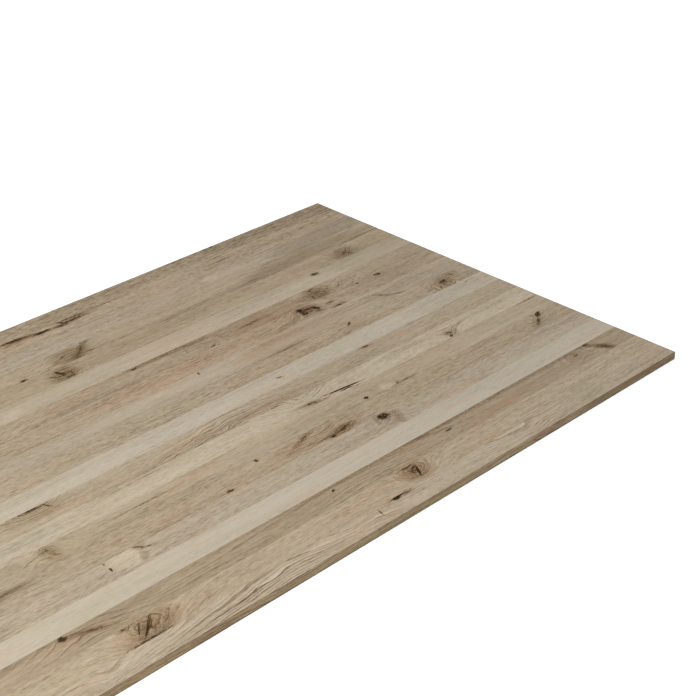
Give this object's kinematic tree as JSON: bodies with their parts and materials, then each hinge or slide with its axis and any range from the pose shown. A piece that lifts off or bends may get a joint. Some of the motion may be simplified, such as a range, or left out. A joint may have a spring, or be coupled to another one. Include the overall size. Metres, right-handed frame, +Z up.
{
  "type": "edge-glued oak panel",
  "caption": "Flat panel of solid, knotty oak staves glued edge to edge over their full length, with square sawn ends, eased outer edges and an untreated sanded face.",
  "frame": {"origin": "middle of the underside, on the surface that the panel lies on", "axes": "+X along the staves and the panel's length, +Y across the staves, +Z up out of the knotty face"},
  "size_m": [2.5, 1.21, 0.02],
  "materials": {
    "oak_pale": "sanded, untreated",
    "oak_light": "sanded, untreated",
    "oak_tan": "sanded, untreated",
    "oak_brown": "sanded, untreated"
  },
  "bodies": {
    "root": {"stave_01": "oak_brown", "stave_02": "oak_brown", "stave_03": "oak_tan", "stave_04": "oak_brown", "stave_05": "oak_brown", "stave_06": "oak_pale", "stave_07": "oak_brown", "stave_08": "oak_tan", "stave_09": "oak_tan", "stave_10": "oak_brown", "stave_11": "oak_pale", "stave_12": "oak_brown", "stave_13": "oak_light", "stave_14": "oak_tan", "stave_15": "oak_brown", "stave_16": "oak_tan", "stave_17": "oak_pale", "stave_18": "oak_brown", "stave_19": "oak_tan", "stave_20": "oak_light"}
  },
  "joints": []
}
